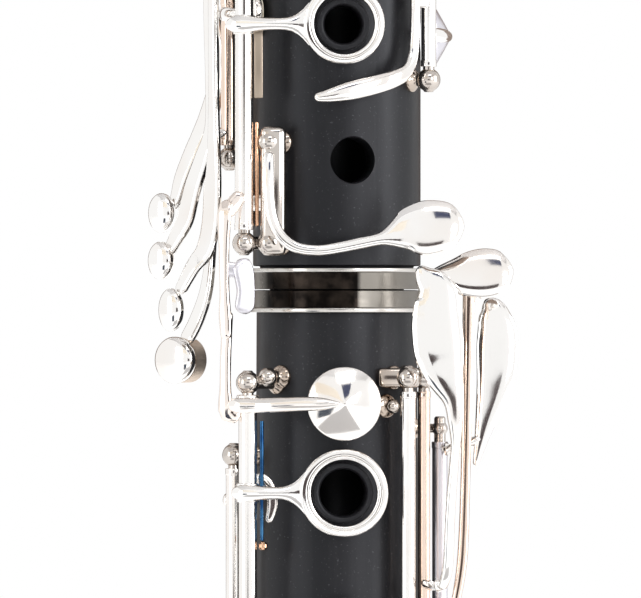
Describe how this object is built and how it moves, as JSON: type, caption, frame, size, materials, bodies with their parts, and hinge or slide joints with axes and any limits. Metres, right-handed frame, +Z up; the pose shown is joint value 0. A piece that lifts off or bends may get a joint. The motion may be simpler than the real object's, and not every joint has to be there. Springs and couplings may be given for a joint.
{
  "type": "clarinet",
  "caption": "Boehm-system soprano clarinet in black wood, with sprung silver-plated keys, finger rings, a sliding barrel, and a mouthpiece with reed and ligature, standing on its bell.",
  "frame": {"origin": "centre of the bell rim's lower face", "axes": "+Z up the bore to the mouthpiece, tone holes and rings face -Y, +X to the left little finger's levers"},
  "size_m": [0.079, 0.079, 0.662],
  "materials": {
    "grenadilla": "satin black oiled hardwood",
    "ebonite": "polished black hard rubber",
    "cane": "raw split cane",
    "cork": "greased natural cork",
    "joint_ring": "polished nickel silver",
    "fittings": "polished nickel silver",
    "post_nickel": "polished nickel silver, slightly grey",
    "key_silver": "bright silver plate",
    "blued_steel": "heat-blued needle wire"
  },
  "bodies": {
    "body": {"upper_joint": "grenadilla", "upper_joint_ring": "joint_ring", "upper_tenon_cork": "cork", "middle_tenon_cork": "cork", "thumb_bushing": "fittings", "register_tube": "fittings", "lower_joint": "grenadilla", "lower_joint_ring": "joint_ring", "bell_tenon_cork": "cork", "bell": "grenadilla", "bell_socket_ring": "joint_ring", "bell_rim_ring": "joint_ring", "thumb_rest": "fittings", "lh_front_hinges": "post_nickel", "e_flat_sliver_hinge": "post_nickel", "trill_hinge": "post_nickel", "side_f_sharp_hinge": "post_nickel", "side_e_flat_hinge": "post_nickel", "throat_a_hinge": "post_nickel", "throat_g_sharp_hinge": "post_nickel", "register_hinge": "post_nickel", "thumb_ring_hinge": "post_nickel", "rh_ring_hinge": "post_nickel", "rh_ring_needle_spring": "blued_steel", "b_sliver_hinge": "post_nickel", "pinky_hinge_front": "post_nickel", "pinky_hinge_side": "post_nickel", "left_lever_hinge_front": "post_nickel", "left_lever_hinge_side": "post_nickel"},
    "barrel_set": {"barrel": "grenadilla", "barrel_lower_ring": "joint_ring", "barrel_upper_ring": "joint_ring", "mouthpiece": "ebonite", "mouthpiece_cork": "cork", "reed": "cane", "ligature": "fittings"},
    "ligature_screw_lower_body": {"ligature_screw_lower": "fittings"},
    "ligature_screw_upper_body": {"ligature_screw_upper": "fittings"},
    "lh1_ring_key_body": {"lh1_ring_key": "key_silver"},
    "lh2_ring_key_body": {"lh2_ring_key": "key_silver"},
    "c_sharp_key_body": {"c_sharp_key": "key_silver"},
    "e_flat_key_body": {"e_flat_key": "key_silver"},
    "trill_key_upper_body": {"trill_key_upper": "key_silver"},
    "trill_key_lower_body": {"trill_key_lower": "key_silver"},
    "side_f_sharp_key_body": {"side_f_sharp_key": "key_silver"},
    "side_e_flat_key_body": {"side_e_flat_key": "key_silver"},
    "throat_a_key_body": {"throat_a_key": "key_silver"},
    "throat_g_sharp_key_body": {"throat_g_sharp_key": "key_silver"},
    "register_key_body": {"register_key": "key_silver"},
    "thumb_ring_key_body": {"thumb_ring_key": "key_silver"},
    "rh_ring_key_body": {"rh_ring_key": "key_silver"},
    "b_natural_key_body": {"b_natural_key": "key_silver"},
    "a_flat_key_body": {"a_flat_key": "key_silver"},
    "e_key_body": {"e_key": "key_silver"},
    "f_sharp_key_body": {"f_sharp_key": "key_silver"},
    "f_key_body": {"f_key": "key_silver"},
    "left_e_lever_body": {"left_e_lever": "key_silver"},
    "left_f_sharp_lever_body": {"left_f_sharp_lever": "key_silver"},
    "left_f_lever_body": {"left_f_lever": "key_silver"}
  },
  "joints": [
    {"name": "barrel_tuning", "type": "slide", "parent": "body", "child": "barrel_set", "axis": [0, 0, 1], "range_m": [0, 0.003]},
    {"name": "ligature_screw_lower_turn", "type": "hinge", "parent": "barrel_set", "child": "ligature_screw_lower_body", "pos_m": [0, 0.0182, 0.606], "axis": [1, 0, 0], "continuous": true},
    {"name": "ligature_screw_upper_turn", "type": "hinge", "parent": "barrel_set", "child": "ligature_screw_upper_body", "pos_m": [0, 0.0182, 0.616], "axis": [1, 0, 0], "continuous": true},
    {"name": "lh1_ring_key_turn", "type": "hinge", "parent": "body", "child": "lh1_ring_key_body", "pos_m": [-0.0153, -0.0135, 0.405], "axis": [0, 0, 1], "range_deg": [0, 6.5], "stiffness_Nm_per_rad": 0.012, "springref_deg": -17.19},
    {"name": "lh2_ring_key_turn", "type": "hinge", "parent": "body", "child": "lh2_ring_key_body", "pos_m": [-0.0153, -0.0135, 0.37], "axis": [0, 0, 1], "range_deg": [0, 6.5], "stiffness_Nm_per_rad": 0.012, "springref_deg": -17.19},
    {"name": "c_sharp_key_turn", "type": "hinge", "parent": "body", "child": "c_sharp_key_body", "pos_m": [-0.0112, -0.0134, 0.349], "axis": [0, 0, 1], "range_deg": [0, 8], "stiffness_Nm_per_rad": 0.012, "springref_deg": -17.19},
    {"name": "e_flat_key_turn", "type": "hinge", "parent": "body", "child": "e_flat_key_body", "pos_m": [0.0152, -0.00825, 0.381], "axis": [0, 0, -1], "range_deg": [0, 10], "stiffness_Nm_per_rad": 0.012, "springref_deg": -17.19},
    {"name": "trill_key_upper_turn", "type": "hinge", "parent": "body", "child": "trill_key_upper_body", "pos_m": [-0.01783, 0.0025, 0.45], "axis": [0, 0, -1], "range_deg": [0, 10], "stiffness_Nm_per_rad": 0.012, "springref_deg": -17.19},
    {"name": "trill_key_lower_turn", "type": "hinge", "parent": "body", "child": "trill_key_lower_body", "pos_m": [-0.01793, -0.00157, 0.44], "axis": [0, 0, -1], "range_deg": [0, 10], "stiffness_Nm_per_rad": 0.012, "springref_deg": -17.19},
    {"name": "side_f_sharp_key_turn", "type": "hinge", "parent": "body", "child": "side_f_sharp_key_body", "pos_m": [-0.01712, -0.00556, 0.414], "axis": [0, 0, -1], "range_deg": [0, 10], "stiffness_Nm_per_rad": 0.012, "springref_deg": -17.19},
    {"name": "side_e_flat_key_turn", "type": "hinge", "parent": "body", "child": "side_e_flat_key_body", "pos_m": [-0.01793, 0.00157, 0.37], "axis": [0, 0, -1], "range_deg": [0, 10], "stiffness_Nm_per_rad": 0.012, "springref_deg": -17.19},
    {"name": "throat_a_key_turn", "type": "hinge", "parent": "body", "child": "throat_a_key_body", "pos_m": [0, -0.0176, 0.476], "axis": [1, 0, 0], "range_deg": [0, 8], "stiffness_Nm_per_rad": 0.02, "springref_deg": -17.19},
    {"name": "throat_g_sharp_key_turn", "type": "hinge", "parent": "body", "child": "throat_g_sharp_key_body", "pos_m": [0.01084, -0.01387, 0.468], "axis": [0.788, 0.6157, 0], "range_deg": [0, 7], "stiffness_Nm_per_rad": 0.02, "springref_deg": -17.19},
    {"name": "register_key_turn", "type": "hinge", "parent": "body", "child": "register_key_body", "pos_m": [-0.00366, 0.01722, 0.47], "axis": [-0.9781, -0.2079, 0], "range_deg": [0, 4.5], "stiffness_Nm_per_rad": 0.05, "springref_deg": -17.19},
    {"name": "thumb_ring_key_turn", "type": "hinge", "parent": "body", "child": "thumb_ring_key_body", "pos_m": [0.0132, 0.0132, 0.425], "axis": [0, 0, 1], "range_deg": [0, 6.5], "stiffness_Nm_per_rad": 0.012, "springref_deg": -17.19},
    {"name": "rh_ring_key_turn", "type": "hinge", "parent": "body", "child": "rh_ring_key_body", "pos_m": [-0.0147, -0.0135, 0.28], "axis": [0, 0, 1], "range_deg": [0, 6.5], "stiffness_Nm_per_rad": 0.02, "springref_deg": -17.19},
    {"name": "b_natural_key_turn", "type": "hinge", "parent": "body", "child": "b_natural_key_body", "pos_m": [-0.01714, -0.00302, 0.284], "axis": [0, 0, 1], "range_deg": [0, 8], "stiffness_Nm_per_rad": 0.012, "springref_deg": -17.19},
    {"name": "a_flat_key_turn", "type": "hinge", "parent": "body", "child": "a_flat_key_body", "pos_m": [-0.01081, -0.01489, 0.222], "axis": [0, 0, -1], "range_deg": [0, 9], "stiffness_Nm_per_rad": 0.012, "springref_deg": -17.19},
    {"name": "e_key_turn", "type": "hinge", "parent": "body", "child": "e_key_body", "pos_m": [-0.01081, -0.01489, 0.175], "axis": [0, 0, -1], "range_deg": [0, 8], "stiffness_Nm_per_rad": 0.02, "springref_deg": -17.19},
    {"name": "f_sharp_key_turn", "type": "hinge", "parent": "body", "child": "f_sharp_key_body", "pos_m": [-0.01409, -0.01183, 0.197], "axis": [0, 0, -1], "range_deg": [0, 8], "stiffness_Nm_per_rad": 0.02, "springref_deg": -17.19},
    {"name": "f_key_turn", "type": "hinge", "parent": "body", "child": "f_key_body", "pos_m": [-0.01654, -0.00807, 0.207], "axis": [0, 0, -1], "range_deg": [0, 8], "stiffness_Nm_per_rad": 0.02, "springref_deg": -17.19},
    {"name": "left_e_lever_turn", "type": "hinge", "parent": "body", "child": "left_e_lever_body", "pos_m": [0.0117, -0.0123, 0.26], "axis": [0, 0, 1], "range_deg": [0, 8], "stiffness_Nm_per_rad": 0.012, "springref_deg": -17.19},
    {"name": "left_f_sharp_lever_turn", "type": "hinge", "parent": "body", "child": "left_f_sharp_lever_body", "pos_m": [0.0144, -0.0096, 0.26], "axis": [0, 0, 1], "range_deg": [0, 8.2], "stiffness_Nm_per_rad": 0.012, "springref_deg": -17.19},
    {"name": "left_f_lever_turn", "type": "hinge", "parent": "body", "child": "left_f_lever_body", "pos_m": [0.0171, -0.0056, 0.262], "axis": [0, 0, 1], "range_deg": [0, 8], "stiffness_Nm_per_rad": 0.012, "springref_deg": -17.19}
  ],
  "couplings": [
    {"joint": "lh2_ring_key_turn", "follows": "rh_ring_key_turn", "ratio": 1},
    {"joint": "left_e_lever_turn", "follows": "e_key_turn", "ratio": 0.92},
    {"joint": "left_f_sharp_lever_turn", "follows": "f_sharp_key_turn", "ratio": 1},
    {"joint": "left_f_lever_turn", "follows": "f_key_turn", "ratio": 0.96}
  ]
}
